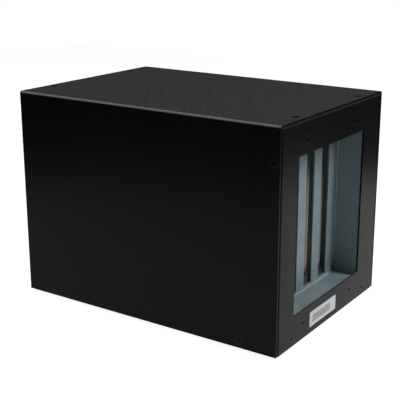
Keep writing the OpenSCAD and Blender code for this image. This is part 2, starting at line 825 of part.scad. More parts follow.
// Cambered blade, run out from inside the hub and trimmed to the rotor's radius
module fan_blade() {
    root_x = hub_r * blade_root_share;
    intersection() {
        cylinder(h = hub_l, r = rotor_r);
        translate([root_x, 0, hub_l / 2]) rotate([90, 0, 90]) linear_extrude(rotor_r + over - root_x)
            rotate(blade_pitch) intersection() {
                translate([0, -blade_camber_r]) difference() {
                    circle(blade_camber_r + blade_t / 2);
                    circle(blade_camber_r - blade_t / 2);
                }
                square(blade_chord, center = true);
            }
    }
}

module fan_rotor() color([0.11, 0.11, 0.12]) at_fan() translate([0, 0, rotor_front]) {
    cylinder(h = hub_edge, r1 = hub_r - hub_edge, r2 = hub_r);
    translate([0, 0, hub_edge]) cylinder(h = hub_l - hub_edge, r = hub_r);
    translate([0, 0, hub_l]) cylinder(h = hub_gap + shaft_bore_l - shaft_gap, r = shaft_r);
    for (i = [0 : blade_count - 1]) rotate(i * 360 / blade_count) fan_blade();
}

// Power inlet and link socket on the board's rear edge
module dc_inlet() color([0.07, 0.07, 0.08]) translate([inlet_x, power_y, board_z + inlet_h / 2]) difference() {
    body_x = end_t / 2 + board_gap;
    union() {
        translate([body_x, -inlet_w / 2, -inlet_h / 2]) cube([inlet_l, inlet_w, inlet_h]);
        rotate([0, 90, 0]) cylinder(h = body_x + inlet_nose_gap, r = inlet_nose_r);
    }
    rotate([0, 90, 0]) translate([0, 0, -over]) difference() {
        cylinder(h = inlet_bore_l + over, r = inlet_r);
        translate([0, 0, inlet_pin_back + over]) cylinder(h = inlet_bore_l, r = inlet_pin_r);
    }
}

module link_shell() color([0.7, 0.7, 0.68]) translate([-half_l, link_y, board_z]) difference() {
    translate([0, -link_w / 2 - link_t, 0]) cube([link_l, link_w + 2 * link_t, link_h + 2 * link_t]);
    translate([-over, -link_w / 2, link_t]) cube([link_l + 2 * over, link_w, link_h]);
}

module link_insert() color([0.08, 0.08, 0.09])
    translate([link_l - link_insert_l - half_l, link_y, board_z + link_t]) difference() {
        union() {
            translate([0, -link_w / 2, 0]) cube([link_insert_l, link_w, link_h]);
            translate([-link_nose_l, -link_nose_w / 2, (link_h - link_nose_h) / 2])
                cube([link_nose_l, link_nose_w, link_nose_h]);
        }
        translate([-link_nose_l - over, -link_slot_w / 2, (link_h - link_slot_h) / 2])
            cube([link_insert_l, link_slot_w, link_slot_h]);
    }

// Power switch, drawn along +z with the panel's face at z = 0 and its length along y
module at_switch() {
    translate([-half_l, power_y, switch_z]) rotate([90, 0, -90]) children();
}

module switch_housing() color([0.06, 0.06, 0.07]) at_switch() difference() {
    union() {
        linear_extrude(bezel_t - bezel_edge) round_rect_2d(switch_w, switch_h, bezel_edge);
        translate([0, 0, bezel_t - bezel_edge]) linear_extrude(bezel_edge)
            round_rect_2d(switch_w - bezel_edge, switch_h - bezel_edge, bezel_edge);
        translate([-switch_neck_w / 2, -switch_neck_h / 2, -switch_d])
            cube([switch_neck_w, switch_neck_h, switch_d]);
    }
    translate([-switch_in_w / 2, -switch_in_h / 2, -switch_well])
        cube([switch_in_w, switch_in_h, switch_well + 2 * bezel_t]);
    translate([0, 0, -rocker_pivot]) rotate([0, 90, 0])
        cylinder(h = switch_in_w + 2 * pin_bore_l, r = rocker_pin_r + run_fit, center = true);
}

module switch_terminals() color([0.75, 0.6, 0.35]) at_switch()
    for (i = [0 : blade_tab_count - 1])
        translate([-blade_w / 2, (i - (blade_tab_count - 1) / 2) * blade_tab_pitch - blade_tab_t / 2,
            -switch_d - blade_tab_l]) cube([blade_w, blade_tab_t, blade_tab_l]);

// Rocker on its two pins, at rest with its upper end raised
module power_rocker() color([0.1, 0.1, 0.1]) at_switch() translate([0, 0, -rocker_pivot]) {
    rotate([rocker_tilt, 0, 0]) rotate([90, 0, 90]) linear_extrude(rocker_w, center = true) {
        polygon([[-rocker_half, -rocker_depth / 2], [-rocker_half, rocker_tip], [0, rocker_rise],
            [rocker_half, rocker_tip], [rocker_half, -rocker_depth / 2]]);
        circle(rocker_depth);
    }
    rotate([0, 90, 0]) cylinder(h = rocker_w + 2 * rocker_gap + 2 * rocker_pin_l, r = rocker_pin_r, center = true);
}

module power_lamp() color([0.2, 0.75, 0.3]) translate([-panel_x, power_y, lamp_z]) rotate([0, -90, 0]) {
    translate([0, 0, -lamp_rim_t]) cylinder(h = lamp_rim_t, r = lamp_rim_r);
    translate([0, 0, -lamp_body_l]) cylinder(h = lamp_body_l, r = lamp_r);
    cylinder(h = end_t + lamp_out - lamp_r, r = lamp_r);
    translate([0, 0, end_t + lamp_out - lamp_r]) sphere(lamp_r);
}

// The case stands on its feet, centred over the origin
module placed() {
    translate([case_shift, 0, foot_h]) children();
}

placed() cover();
placed() base_tray();
placed() slot_end_panel();
placed() port_end_panel();
placed() slot_bracket();
placed() bracket_guide();
placed() slot_cover(0);  // slot_cover_1
placed() slot_cover(1);  // slot_cover_2
placed() slot_cover(2);  // slot_cover_3
placed() slot_cover(3);  // slot_cover_4
placed() slot_cover_screws();
placed() bracket_screws();
placed() cover_side_screws();
placed() cover_top_screws();
placed() tray_end_screws();
placed() foot(1, -1);  // foot_1
placed() foot(1, 1);  // foot_2
placed() foot(-1, -1);  // foot_3
placed() foot(-1, 1);  // foot_4
placed() backplane_board();
placed() board_standoffs();
placed() board_screws();
placed() card_socket(0);  // card_socket_1
placed() card_socket(1);  // card_socket_2
placed() card_socket(2);  // card_socket_3
placed() card_socket(3);  // card_socket_4
placed() bridge_chip();
placed() bridge_heatsink();
placed() capacitors();
placed() power_coils();
placed() fan_header();
placed() fan_frame();
placed() fan_rotor();
placed() fan_screws();
placed() dc_inlet();
placed() link_shell();
placed() link_insert();
placed() switch_housing();
placed() switch_terminals();
placed() power_rocker();
placed() power_lamp();
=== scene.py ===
import json
import math

import bmesh
import bpy
from mathutils import Matrix, Vector


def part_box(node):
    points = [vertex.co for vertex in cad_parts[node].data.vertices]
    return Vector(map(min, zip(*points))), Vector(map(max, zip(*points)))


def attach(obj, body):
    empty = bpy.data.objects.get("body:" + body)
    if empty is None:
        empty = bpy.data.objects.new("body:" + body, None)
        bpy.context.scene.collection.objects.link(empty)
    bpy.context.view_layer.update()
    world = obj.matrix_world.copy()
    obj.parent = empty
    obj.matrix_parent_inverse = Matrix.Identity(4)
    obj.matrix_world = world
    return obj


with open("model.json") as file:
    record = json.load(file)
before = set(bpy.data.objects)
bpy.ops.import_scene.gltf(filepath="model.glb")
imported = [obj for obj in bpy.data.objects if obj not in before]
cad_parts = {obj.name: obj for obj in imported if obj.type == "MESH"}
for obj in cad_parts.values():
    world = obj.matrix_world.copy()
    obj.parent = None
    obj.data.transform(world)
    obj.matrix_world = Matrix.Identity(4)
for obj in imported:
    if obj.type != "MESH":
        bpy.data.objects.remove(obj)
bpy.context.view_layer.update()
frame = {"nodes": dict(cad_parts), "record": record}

mm = 0.001
print("stage: frame loaded")


# camera

cameraView = {
    "place": (0.33522, -0.48732, 0.24239),  # metres, in the case's own frame
    "turn": (73.926, -0.302, 32.952),  # degrees
    "lens": 81.649,
    "sensor": 36.0,
    "shift": (-0.0625, -0.025),
    "nearest": 0.01,  # metres
}


def addCamera(view):
    data = bpy.data.cameras.new("photoCamera")
    data.lens = view["lens"]
    data.sensor_width = view["sensor"]
    data.shift_x, data.shift_y = view["shift"]
    data.clip_start = view["nearest"]
    camera = bpy.data.objects.new("photoCamera", data)
    camera.location = view["place"]
    camera.rotation_euler = [math.radians(angle) for angle in view["turn"]]
    bpy.context.scene.collection.objects.link(camera)
    bpy.context.scene.camera = camera


addCamera(cameraView)
print("stage: camera")


# nodes and node groups

white = (1.0, 1.0, 1.0, 1.0)


def opaque(colour):
    return (*colour, 1.0)


def addNode(tree, kind, settings=None, **values):
    node = tree.nodes.new(kind)
    for name, value in (settings or {}).items():
        setattr(node, name, value)
    for name, value in values.items():
        node.inputs[name.replace("_", " ")].default_value = value
    return node


def join(tree, source, output, target, entry):
    tree.links.new(source.outputs[output], target.inputs[entry])


def mathNode(tree, operation, first, second=None, clamp=False):
    node = tree.nodes.new("ShaderNodeMath")
    node.operation = operation
    node.use_clamp = clamp
    for index, value in enumerate((first, second)):
        if value is None:
            continue
        if isinstance(value, (int, float)):
            node.inputs[index].default_value = value
        else:
            tree.links.new(value, node.inputs[index])
    return node.outputs[0]


def mapRange(tree, value, low, high, newLow, newHigh):
    node = tree.nodes.new("ShaderNodeMapRange")
    tree.links.new(value, node.inputs["Value"])
    limits = {"From Min": low, "From Max": high, "To Min": newLow, "To Max": newHigh}
    for name, number in limits.items():
        if isinstance(number, (int, float)):
            node.inputs[name].default_value = number
        else:
            tree.links.new(number, node.inputs[name])
    return node.outputs["Result"]


def mixColour(tree, mask, first, second):
    node = tree.nodes.new("ShaderNodeMix")
    node.data_type = "RGBA"
    tree.links.new(mask, node.inputs[0])
    for index, colour in ((6, first), (7, second)):
        if isinstance(colour, tuple):
            node.inputs[index].default_value = opaque(colour)
        else:
            tree.links.new(colour, node.inputs[index])
    return node.outputs[2]


def newGroup(name, inputs, outputs):
    group = bpy.data.node_groups.new(name, "ShaderNodeTree")
    for label, value in inputs.items():
        socket = group.interface.new_socket(name=label, in_out="INPUT", socket_type="NodeSocketFloat")
        socket.default_value = value
    for label in outputs:
        group.interface.new_socket(name=label, in_out="OUTPUT", socket_type="NodeSocketFloat")
    return group, group.nodes.new("NodeGroupInput"), group.nodes.new("NodeGroupOutput")


def useGroup(tree, group, **values):
    node = tree.nodes.new("ShaderNodeGroup")
    node.node_tree = group
    for name, value in values.items():
        node.inputs[name].default_value = value
    return node


def makeFineGrain():
    # even noise of a given size: Height is for the bump, Mask picks the paler grains;
    # noise stays near 0.5, so a middle stretch of it is spread over 0 to 1
    group, given, result = newGroup("fineGrain", {"Size": 0.4, "Softness": 0.5}, ["Height", "Mask"])
    place = addNode(group, "ShaderNodeTexCoord")
    scale = mathNode(group, "DIVIDE", 1000.0, given.outputs["Size"])
    noise = addNode(group, "ShaderNodeTexNoise", Detail=3.0)
    join(group, place, "Object", noise, "Vector")
    group.links.new(scale, noise.inputs["Scale"])
    join(group, given, "Softness", noise, "Roughness")
    level = noise.outputs["Fac"]
    group.links.new(mapRange(group, level, 0.3, 0.7, 0.0, 1.0), result.inputs["Height"])
    group.links.new(mapRange(group, level, 0.42, 0.66, 0.0, 1.0), result.inputs["Mask"])
    return group


def makeMottle():
    # wide soft patches, for colour and roughness that vary slowly
    group, given, result = newGroup("mottle", {"Size": 30.0, "Contrast": 1.0}, ["Mask"])
    place = addNode(group, "ShaderNodeTexCoord")
    scale = mathNode(group, "DIVIDE", 1000.0, given.outputs["Size"])
    noise = addNode(group, "ShaderNodeTexNoise", Detail=4.0, Roughness=0.55, Distortion=0.4)
    join(group, place, "Object", noise, "Vector")
    group.links.new(scale, noise.inputs["Scale"])
    centred = mathNode(group, "SUBTRACT", noise.outputs["Fac"], 0.5)
    stretched = mathNode(group, "MULTIPLY", centred, given.outputs["Contrast"])
    group.links.new(mathNode(group, "ADD", stretched, 0.5, clamp=True), result.inputs["Mask"])
    return group


def makeBrushedLines():
    # fine lines, drawn out along the axis whose Along value is large
    group, given, result = newGroup("brushedLines",
        {"Size": 0.5, "Along X": 1.0, "Along Y": 1.0, "Along Z": 1.0}, ["Height", "Mask"])
    place = addNode(group, "ShaderNodeTexCoord")
    split = addNode(group, "ShaderNodeSeparateXYZ")
    merge = addNode(group, "ShaderNodeCombineXYZ")
    join(group, place, "Object", split, "Vector")
    for axis in "XYZ":
        along = given.outputs["Along " + axis]
        group.links.new(mathNode(group, "DIVIDE", split.outputs[axis], along), merge.inputs[axis])
    scale = mathNode(group, "DIVIDE", 1000.0, given.outputs["Size"])
    noise = addNode(group, "ShaderNodeTexNoise", Detail=4.0, Roughness=0.65)
    join(group, merge, "Vector", noise, "Vector")
    group.links.new(scale, noise.inputs["Scale"])
    level = noise.outputs["Fac"]
    group.links.new(level, result.inputs["Height"])
    group.links.new(mapRange(group, level, 0.35, 0.65, 0.0, 1.0), result.inputs["Mask"])
    return group


def makeEdgeMask():
    # 1 along sharp outer edges, broken up by noise
    group, given, result = newGroup("edgeMask", {"Radius": 0.0005, "Breakup": 0.5}, ["Mask"])
    bevel = addNode(group, "ShaderNodeBevel", {"samples": 4})
    join(group, given, "Radius", bevel, "Radius")
    surface = addNode(group, "ShaderNodeNewGeometry")
    dot = addNode(group, "ShaderNodeVectorMath", {"operation": "DOT_PRODUCT"})
    join(group, bevel, "Normal", dot, 0)
    join(group, surface, "Normal", dot, 1)
    smooth, sharp = 0.98, 0.8  # cosine between the rounded normal and the face's own
    bend = mapRange(group, dot.outputs["Value"], smooth, sharp, 0.0, 1.0)
    place = addNode(group, "ShaderNodeTexCoord")
    noise = addNode(group, "ShaderNodeTexNoise", Scale=350.0, Detail=5.0, Roughness=0.7)
    join(group, place, "Object", noise, "Vector")
    worn = mathNode(group, "GREATER_THAN", noise.outputs["Fac"], given.outputs["Breakup"])
    group.links.new(mathNode(group, "MULTIPLY", bend, worn, clamp=True), result.inputs["Mask"])
    return group


def makeDustFilm():
    # thin pale layer: more on faces that look up, and towards the foot of the case; part dust, part
    # painted light (light from above on upward faces, painted floor bounce towards the foot)
    group, given, result = newGroup("dustAndLightFilm",
        {"Upward": 0.5, "Low": 0.5, "Height": 0.14}, ["Mask"])
    surface = addNode(group, "ShaderNodeNewGeometry")
    split = addNode(group, "ShaderNodeSeparateXYZ")
    join(group, surface, "Normal", split, "Vector")
    # paler on upward faces: dust, and on the powder coat also painted light from above
    upward = mathNode(group, "MULTIPLY", mathNode(group, "MAXIMUM", split.outputs["Z"], 0.0),
        given.outputs["Upward"])
    place = addNode(group, "ShaderNodeTexCoord")
    height = addNode(group, "ShaderNodeSeparateXYZ")
    join(group, place, "Object", height, "Vector")
    # painted floor bounce: paler towards the foot of the case
    low = mapRange(group, height.outputs["Z"],
        0.0, given.outputs["Height"], given.outputs["Low"], 0.0)
    noise = addNode(group, "ShaderNodeTexNoise", Scale=450.0, Detail=4.0, Roughness=0.7)
    join(group, place, "Object", noise, "Vector")
    thin, thick = 0.45, 1.55  # factors where the noise is low and where it is high
    cloud = mapRange(group, noise.outputs["Fac"], 0.36, 0.64, thin, thick)
    both = mathNode(group, "ADD", upward, low)
    group.links.new(mathNode(group, "MULTIPLY", both, cloud, clamp=True), result.inputs["Mask"])
    return group


def makeSpecks():
    # sparse round specks, such as grit under a coat or lint on it
    group, given, result = newGroup("specks", {"Spacing": 4.0, "Reach": 0.06}, ["Mask"])
    place = addNode(group, "ShaderNodeTexCoord")
    scale = mathNode(group, "DIVIDE", 1000.0, given.outputs["Spacing"])
    cells = addNode(group, "ShaderNodeTexVoronoi")
    join(group, place, "Object", cells, "Vector")
    group.links.new(scale, cells.inputs["Scale"])
    group.links.new(mathNode(group, "LESS_THAN", cells.outputs["Distance"], given.outputs["Reach"]),
        result.inputs["Mask"])
    return group


def makeUpperFolds():
    # 1 on the rounded folds between a long side and the top: the mask of a painted highlight
    group, given, result = newGroup("upperFoldHighlight",
        {"Low": 0.2, "High": 0.96, "Sideways": 0.2}, ["Mask"])
    surface = addNode(group, "ShaderNodeNewGeometry")
    split = addNode(group, "ShaderNodeSeparateXYZ")
    join(group, surface, "Normal", split, "Vector")
    rise = mathNode(group, "GREATER_THAN", split.outputs["Z"], given.outputs["Low"])
    fall = mathNode(group, "LESS_THAN", split.outputs["Z"], given.outputs["High"])
    sideways = mathNode(group, "ABSOLUTE", split.outputs["Y"])
    long = mathNode(group, "GREATER_THAN", sideways, given.outputs["Sideways"])
    between = mathNode(group, "MULTIPLY", rise, fall)
    group.links.new(mathNode(group, "MULTIPLY", between, long), result.inputs["Mask"])
    return group


fineGrain = makeFineGrain()
mottle = makeMottle()
brushedLines = makeBrushedLines()
edgeMask = makeEdgeMask()
dustAndLightFilm = makeDustFilm()
specks = makeSpecks()
upperFoldHighlight = makeUpperFolds()
print("stage: node groups")


# materials

def startMaterial(name, **values):
    material = bpy.data.materials.new(name)
    material.use_nodes = True
    tree = material.node_tree
    shader = next(node for node in tree.nodes if node.type == "BSDF_PRINCIPLED")
    for label, value in values.items():
        shader.inputs[label.replace("_", " ")].default_value = value
    return material, tree, shader


def setColour(tree, shader, colour):
    tree.links.new(colour, shader.inputs["Base Color"])


def setRoughness(tree, shader, mask, limits):
    tree.links.new(mapRange(tree, mask, 0.0, 1.0, *limits), shader.inputs["Roughness"])


def blendShare(tree, mask, share, first, second):
    return mixColour(tree, mathNode(tree, "MULTIPLY", mask, share), first, second)


def halfSum(tree, first, second):
    return mathNode(tree, "MULTIPLY", mathNode(tree, "ADD", first, second), 0.5)


def addBump(tree, shader, height, depth, strength):
    bump = addNode(tree, "ShaderNodeBump", Strength=strength, Distance=depth)
    tree.links.new(height, bump.inputs["Height"])
    join(tree, bump, "Normal", shader, "Normal")


powderCoat = {
    "dark": (0.001, 0.001, 0.0011),
    "light": (0.0105, 0.0103, 0.0102),
    "film": (0.044, 0.0435, 0.041),  # pale haze on the coat: dust, and painted light from above and from the floor
    "worn": (0.05, 0.05, 0.05),
    "fold": (0.1, 0.107, 0.115),  # painted highlight: a bright line along the long folds, where light catches the bend
    "grainSize": 0.5,  # millimetres, like every size and spacing here
    "grainSoftness": 0.6,
    "peelSize": 1.5,
    "peelSoftness": 0.5,
    "bumpDepth": 0.00002,  # metres
    "bumpStrength": 0.7,
    "cloudSize": 60.0,
    "cloudContrast": 1.2,
    "roughness": (0.24, 0.34),
    "specular": 0.06,
    # haze on upward faces (dust and painted light from above) and at the foot (painted floor bounce)
    "upwardDustAndLight": 0.5,
    "paintedFootLight": 0.06,
    "edgeRadius": 0.0004,  # metres
    "edgeBreakup": 0.56,
    "edgeShare": 0.3,
    "speckSpacing": 9.0,
    "speckReach": 0.022,
    "speckShare": 0.35,
}


def makePowderBlack(look):
    material, tree, shader = startMaterial("powderBlack", Specular_IOR_Level=look["specular"])
    grain = useGroup(tree, fineGrain, Size=look["grainSize"], Softness=look["grainSoftness"])
    peel = useGroup(tree, fineGrain, Size=look["peelSize"], Softness=look["peelSoftness"])
    cloud = useGroup(tree, mottle, Size=look["cloudSize"], Contrast=look["cloudContrast"])
    film = useGroup(tree, dustAndLightFilm, Upward=look["upwardDustAndLight"], Low=look["paintedFootLight"])
    edge = useGroup(tree, edgeMask, Radius=look["edgeRadius"], Breakup=look["edgeBreakup"])
    speck = useGroup(tree, specks, Spacing=look["speckSpacing"], Reach=look["speckReach"])
    folds = useGroup(tree, upperFoldHighlight)
    both = halfSum(tree, grain.outputs["Mask"], peel.outputs["Mask"])
    body = mixColour(tree, both, look["dark"], look["light"])
    # pale haze mixed in: painted light on the top faces and painted floor bounce at the foot, with a
    # dust-like breakup
    hazedAndLit = mixColour(tree, film.outputs["Mask"], body, look["film"])
    specked = blendShare(tree, speck.outputs["Mask"], look["speckShare"], hazedAndLit, look["worn"])
    worn = blendShare(tree, edge.outputs["Mask"], look["edgeShare"], specked, look["worn"])
    # the long upper folds get a painted highlight colour in place of a real reflection
    setColour(tree, shader, mixColour(tree, folds.outputs["Mask"], worn, look["fold"]))
    setRoughness(tree, shader, cloud.outputs["Mask"], look["roughness"])
    height = mathNode(tree, "ADD", grain.outputs["Height"], peel.outputs["Height"])
    addBump(tree, shader, height, look["bumpDepth"], look["bumpStrength"])
    return material


sheetMetal = {
    "zincSteel": {"dark": (0.225, 0.285, 0.305), "light": (0.3, 0.375, 0.4),
        "roughness": (0.62, 0.76), "along": (1.0, 1.0, 30.0), "bumpDepth": 0.000006},
    "nickelSteel": {"dark": (0.085, 0.082, 0.07), "light": (0.125, 0.12, 0.102),
        "roughness": (0.14, 0.26), "along": (1.0, 1.0, 40.0), "bumpDepth": 0.000004},
    "linkSteel": {"dark": (0.5, 0.5, 0.48), "light": (0.62, 0.61, 0.58),
        "roughness": (0.28, 0.42), "along": (25.0, 1.0, 1.0), "bumpDepth": 0.000005},
}

# what all the sheet metals share
sheetTexture = {
    "lineSize": 0.4,  # millimetres
    "cloudSize": 12.0,
    "cloudContrast": 1.6,
    "edgeRadius": 0.0003,  # metres
    "edgeBreakup": 0.45,
    "edgeShare": 0.12,
    "edgeGain": 1.25,
    "bumpStrength": 0.5,
}


def makeSheetMetal(name, look, texture):
    material, tree, shader = startMaterial(name, Metallic=1.0)
    along = {"Along " + axis: stretch for axis, stretch in zip("XYZ", look["along"])}
    lines = useGroup(tree, brushedLines, Size=texture["lineSize"], **along)
    cloud = useGroup(tree, mottle, Size=texture["cloudSize"], Contrast=texture["cloudContrast"])
    edge = useGroup(tree, edgeMask, Radius=texture["edgeRadius"], Breakup=texture["edgeBreakup"])
    body = mixColour(tree, cloud.outputs["Mask"], look["dark"], look["light"])
    bright = tuple(min(1.0, texture["edgeGain"] * part) for part in look["light"])
    setColour(tree, shader,
        blendShare(tree, edge.outputs["Mask"], texture["edgeShare"], body, bright))
    rough = halfSum(tree, lines.outputs["Mask"], cloud.outputs["Mask"])
    tree.links.new(mapRange(tree, rough, 0.2, 0.8, *look["roughness"]), shader.inputs["Roughness"])
    addBump(tree, shader, lines.outputs["Height"], look["bumpDepth"], texture["bumpStrength"])
    return material


turnedMetal = {
    "screwSteel": {"colour": (0.6, 0.59, 0.55), "worn": (0.75, 0.74, 0.7),
        "metallic": 1.0, "specular": 0.5, "roughness": (0.22, 0.4)},
    "screwBlack": {"colour": (0.003, 0.003, 0.003), "worn": (0.012, 0.012, 0.012),
        "metallic": 0.0, "specular": 0.1, "roughness": (0.3, 0.45)},
    "brassPlain": {"colour": (0.62, 0.46, 0.2), "worn": (0.8, 0.66, 0.36),
        "metallic": 1.0, "specular": 0.5, "roughness": (0.2, 0.38)},
    "finAluminium": {"colour": (0.6, 0.61, 0.63), "worn": (0.8, 0.8, 0.8),
        "metallic": 1.0, "specular": 0.5, "roughness": (0.32, 0.5)},
}

# what all the turned metals share
turnedTexture = {
    "grainSize": 0.25,  # millimetres
    "grainSoftness": 0.5,
    "cloudSize": 2.5,
    "cloudContrast": 1.5,
    "dullShare": 0.82,
    "edgeRadius": 0.00015,  # metres
    "edgeBreakup": 0.4,
    "edgeShare": 0.6,
    "bumpDepth": 0.000006,
    "bumpStrength": 0.4,
}


def makeTurnedMetal(name, look, texture):
    material, tree, shader = startMaterial(name, Metallic=look["metallic"],
        Specular_IOR_Level=look["specular"])
    grain = useGroup(tree, fineGrain, Size=texture["grainSize"], Softness=texture["grainSoftness"])
    cloud = useGroup(tree, mottle, Size=texture["cloudSize"], Contrast=texture["cloudContrast"])
    edge = useGroup(tree, edgeMask, Radius=texture["edgeRadius"], Breakup=texture["edgeBreakup"])
    dull = tuple(texture["dullShare"] * part for part in look["colour"])
    body = mixColour(tree, cloud.outputs["Mask"], dull, look["colour"])
    setColour(tree, shader,
        blendShare(tree, edge.outputs["Mask"], texture["edgeShare"], body, look["worn"]))
    setRoughness(tree, shader, grain.outputs["Mask"], look["roughness"])
    addBump(tree, shader, grain.outputs["Height"], texture["bumpDepth"], texture["bumpStrength"])
    return material


mouldings = {
    "rubberBlack": {"colour": (0.016, 0.016, 0.016), "light": (0.03, 0.03, 0.03),
        "grain": 0.6, "bumpDepth": 0.00004, "roughness": (0.7, 0.88), "specular": 0.3, "coat": 0.0},
    "socketBlack": {"colour": (0.012, 0.012, 0.013), "light": (0.02, 0.02, 0.022),
        "grain": 0.3, "bumpDepth": 0.00001, "roughness": (0.36, 0.5), "specular": 0.45, "coat": 0.0},
    "chipBlack": {"colour": (0.02, 0.02, 0.021), "light": (0.035, 0.035, 0.036),
        "grain": 0.2, "bumpDepth": 0.000008, "roughness": (0.4, 0.55), "specular": 0.4, "coat": 0.0},
    "capacitorSleeve": {"colour": (0.012, 0.018, 0.07), "light": (0.02, 0.03, 0.1),
        "grain": 2.0, "bumpDepth": 0.00003, "roughness": (0.15, 0.28), "specular": 0.5, "coat": 0.3},
    "coilGrey": {"colour": (0.05, 0.05, 0.052), "light": (0.1, 0.1, 0.1),
        "grain": 0.35, "bumpDepth": 0.00003, "roughness": (0.6, 0.78), "specular": 0.3, "coat": 0.0},
    "headerCream": {"colour": (0.66, 0.62, 0.5), "light": (0.74, 0.7, 0.6),
        "grain": 1.2, "bumpDepth": 0.00001, "roughness": (0.35, 0.5), "specular": 0.45, "coat": 0.0},
    "fanBlack": {"colour": (0.013, 0.013, 0.014), "light": (0.024, 0.024, 0.025),
        "grain": 0.35, "bumpDepth": 0.00003, "roughness": (0.42, 0.56), "specular": 0.4, "coat": 0.0},
    "switchBlack": {"colour": (0.009, 0.009, 0.01), "light": (0.014, 0.014, 0.015),
        "grain": 0.3, "bumpDepth": 0.00001, "roughness": (0.2, 0.32), "specular": 0.5, "coat": 0.15},
}

# what all the mouldings share
mouldedTexture = {
    "grainSoftness": 0.6,
    "cloudSize": 8.0,  # millimetres
    "cloudContrast": 1.3,
    "coatRoughness": 0.12,
    "film": (0.2, 0.195, 0.19),
    "upwardDustAndLight": 0.12,
    "edgeRadius": 0.0002,  # metres
    "edgeBreakup": 0.5,
    "edgeShare": 0.35,
    "edgeGain": 1.5,
    "edgeLift": 0.03,
    "bumpStrength": 0.6,
}


def makeMoulding(name, look, texture):
    material, tree, shader = startMaterial(name, Specular_IOR_Level=look["specular"])
    if look["coat"]:
        shader.inputs["Coat Weight"].default_value = look["coat"]
        shader.inputs["Coat Roughness"].default_value = texture["coatRoughness"]
    grain = useGroup(tree, fineGrain, Size=look["grain"], Softness=texture["grainSoftness"])
    cloud = useGroup(tree, mottle, Size=texture["cloudSize"], Contrast=texture["cloudContrast"])
    edge = useGroup(tree, edgeMask, Radius=texture["edgeRadius"], Breakup=texture["edgeBreakup"])
    film = useGroup(tree, dustAndLightFilm, Upward=texture["upwardDustAndLight"], Low=0.0)
    body = mixColour(tree, cloud.outputs["Mask"], look["colour"], look["light"])
    gain, lift = texture["edgeGain"], texture["edgeLift"]
    paler = tuple(min(1.0, part * gain + lift) for part in look["light"])
    worn = blendShare(tree, edge.outputs["Mask"], texture["edgeShare"], body, paler)
    setColour(tree, shader, mixColour(tree, film.outputs["Mask"], worn, texture["film"]))
    setRoughness(tree, shader, cloud.outputs["Mask"], look["roughness"])
    addBump(tree, shader, grain.outputs["Height"], look["bumpDepth"], texture["bumpStrength"])
    return material


boardLook = {
    "mask": (0.008, 0.075, 0.032),
    "trace": (0.014, 0.13, 0.05),
    "pad": (0.62, 0.6, 0.52),
    "traceSize": 2.4,  # millimetres
    "traceScatter": 0.35,
    "traceEdge": (0.32, 0.38),
    "padSpacing": 3.1,
    "padReach": 0.1,
    "cloudSize": 14.0,
    "cloudContrast": 1.2,
    "roughness": (0.22, 0.38),
    "specular": 0.5,
    "coat": 0.25,
    "coatRoughness": 0.15,
    "bumpDepth": 0.00003,  # metres
    "bumpStrength": 0.5,
}


def makeBoardGreen(look):
    material, tree, shader = startMaterial("boardGreen", Specular_IOR_Level=look["specular"],
        Coat_Weight=look["coat"], Coat_Roughness=look["coatRoughness"])
    place = addNode(tree, "ShaderNodeTexCoord")
    cells = addNode(tree, "ShaderNodeTexVoronoi", {"distance": "MANHATTAN"},
        Scale=1000.0 / look["traceSize"], Randomness=look["traceScatter"])
    join(tree, place, "Object", cells, "Vector")
    trace = mapRange(tree, cells.outputs["Distance"], *look["traceEdge"], 0.0, 1.0)
    pads = useGroup(tree, specks, Spacing=look["padSpacing"], Reach=look["padReach"])
    cloud = useGroup(tree, mottle, Size=look["cloudSize"], Contrast=look["cloudContrast"])
    body = mixColour(tree, trace, look["mask"], look["trace"])
    setColour(tree, shader, mixColour(tree, pads.outputs["Mask"], body, look["pad"]))
    setRoughness(tree, shader, cloud.outputs["Mask"], look["roughness"])
    addBump(tree, shader, trace, look["bumpDepth"], look["bumpStrength"])
    return material


lampLook = {
    "dark": (0.03, 0.3, 0.08),
    "light": (0.06, 0.45, 0.14),
    "cloudSize": 1.2,  # millimetres
    "cloudContrast": 1.4,
    "roughness": (0.08, 0.18),
    "clear": 0.35,
    "bending": 1.49,
    "specular": 0.5,
}


def makeLampGreen(look):
    material, tree, shader = startMaterial("lampGreen", Transmission_Weight=look["clear"],
        IOR=look["bending"], Specular_IOR_Level=look["specular"])
    cloud = useGroup(tree, mottle, Size=look["cloudSize"], Contrast=look["cloudContrast"])
    setColour(tree, shader, mixColour(tree, cloud.outputs["Mask"], look["dark"], look["light"]))
    setRoughness(tree, shader, cloud.outputs["Mask"], look["roughness"])
    return material


paperLook = {
    "dark": (0.57, 0.6, 0.64),
    "light": (0.64, 0.67, 0.71),
    "cloudSize": 6.0,  # millimetres
    "cloudContrast": 1.0,
    "grainSize": 0.35,
    "grainSoftness": 0.6,
    "roughness": (0.42, 0.58),
    "specular": 0.35,
    "bumpDepth": 0.00001,  # metres
    "bumpStrength": 0.5,
}


def makeStickerPaper(look):
    material, tree, shader = startMaterial("stickerPaper", Specular_IOR_Level=look["specular"])
    grain = useGroup(tree, fineGrain, Size=look["grainSize"], Softness=look["grainSoftness"])
    cloud = useGroup(tree, mottle, Size=look["cloudSize"], Contrast=look["cloudContrast"])
    setColour(tree, shader, mixColour(tree, cloud.outputs["Mask"], look["dark"], look["light"]))
    setRoughness(tree, shader, grain.outputs["Mask"], look["roughness"])
    addBump(tree, shader, grain.outputs["Height"], look["bumpDepth"], look["bumpStrength"])
    return material


inkLook = {
    "dark": (0.03, 0.03, 0.032),
    "light": (0.05, 0.05, 0.052),
    "grainSize": 0.3,  # millimetres
    "grainSoftness": 0.6,
    "roughness": (0.4, 0.6),
    "specular": 0.4,
}


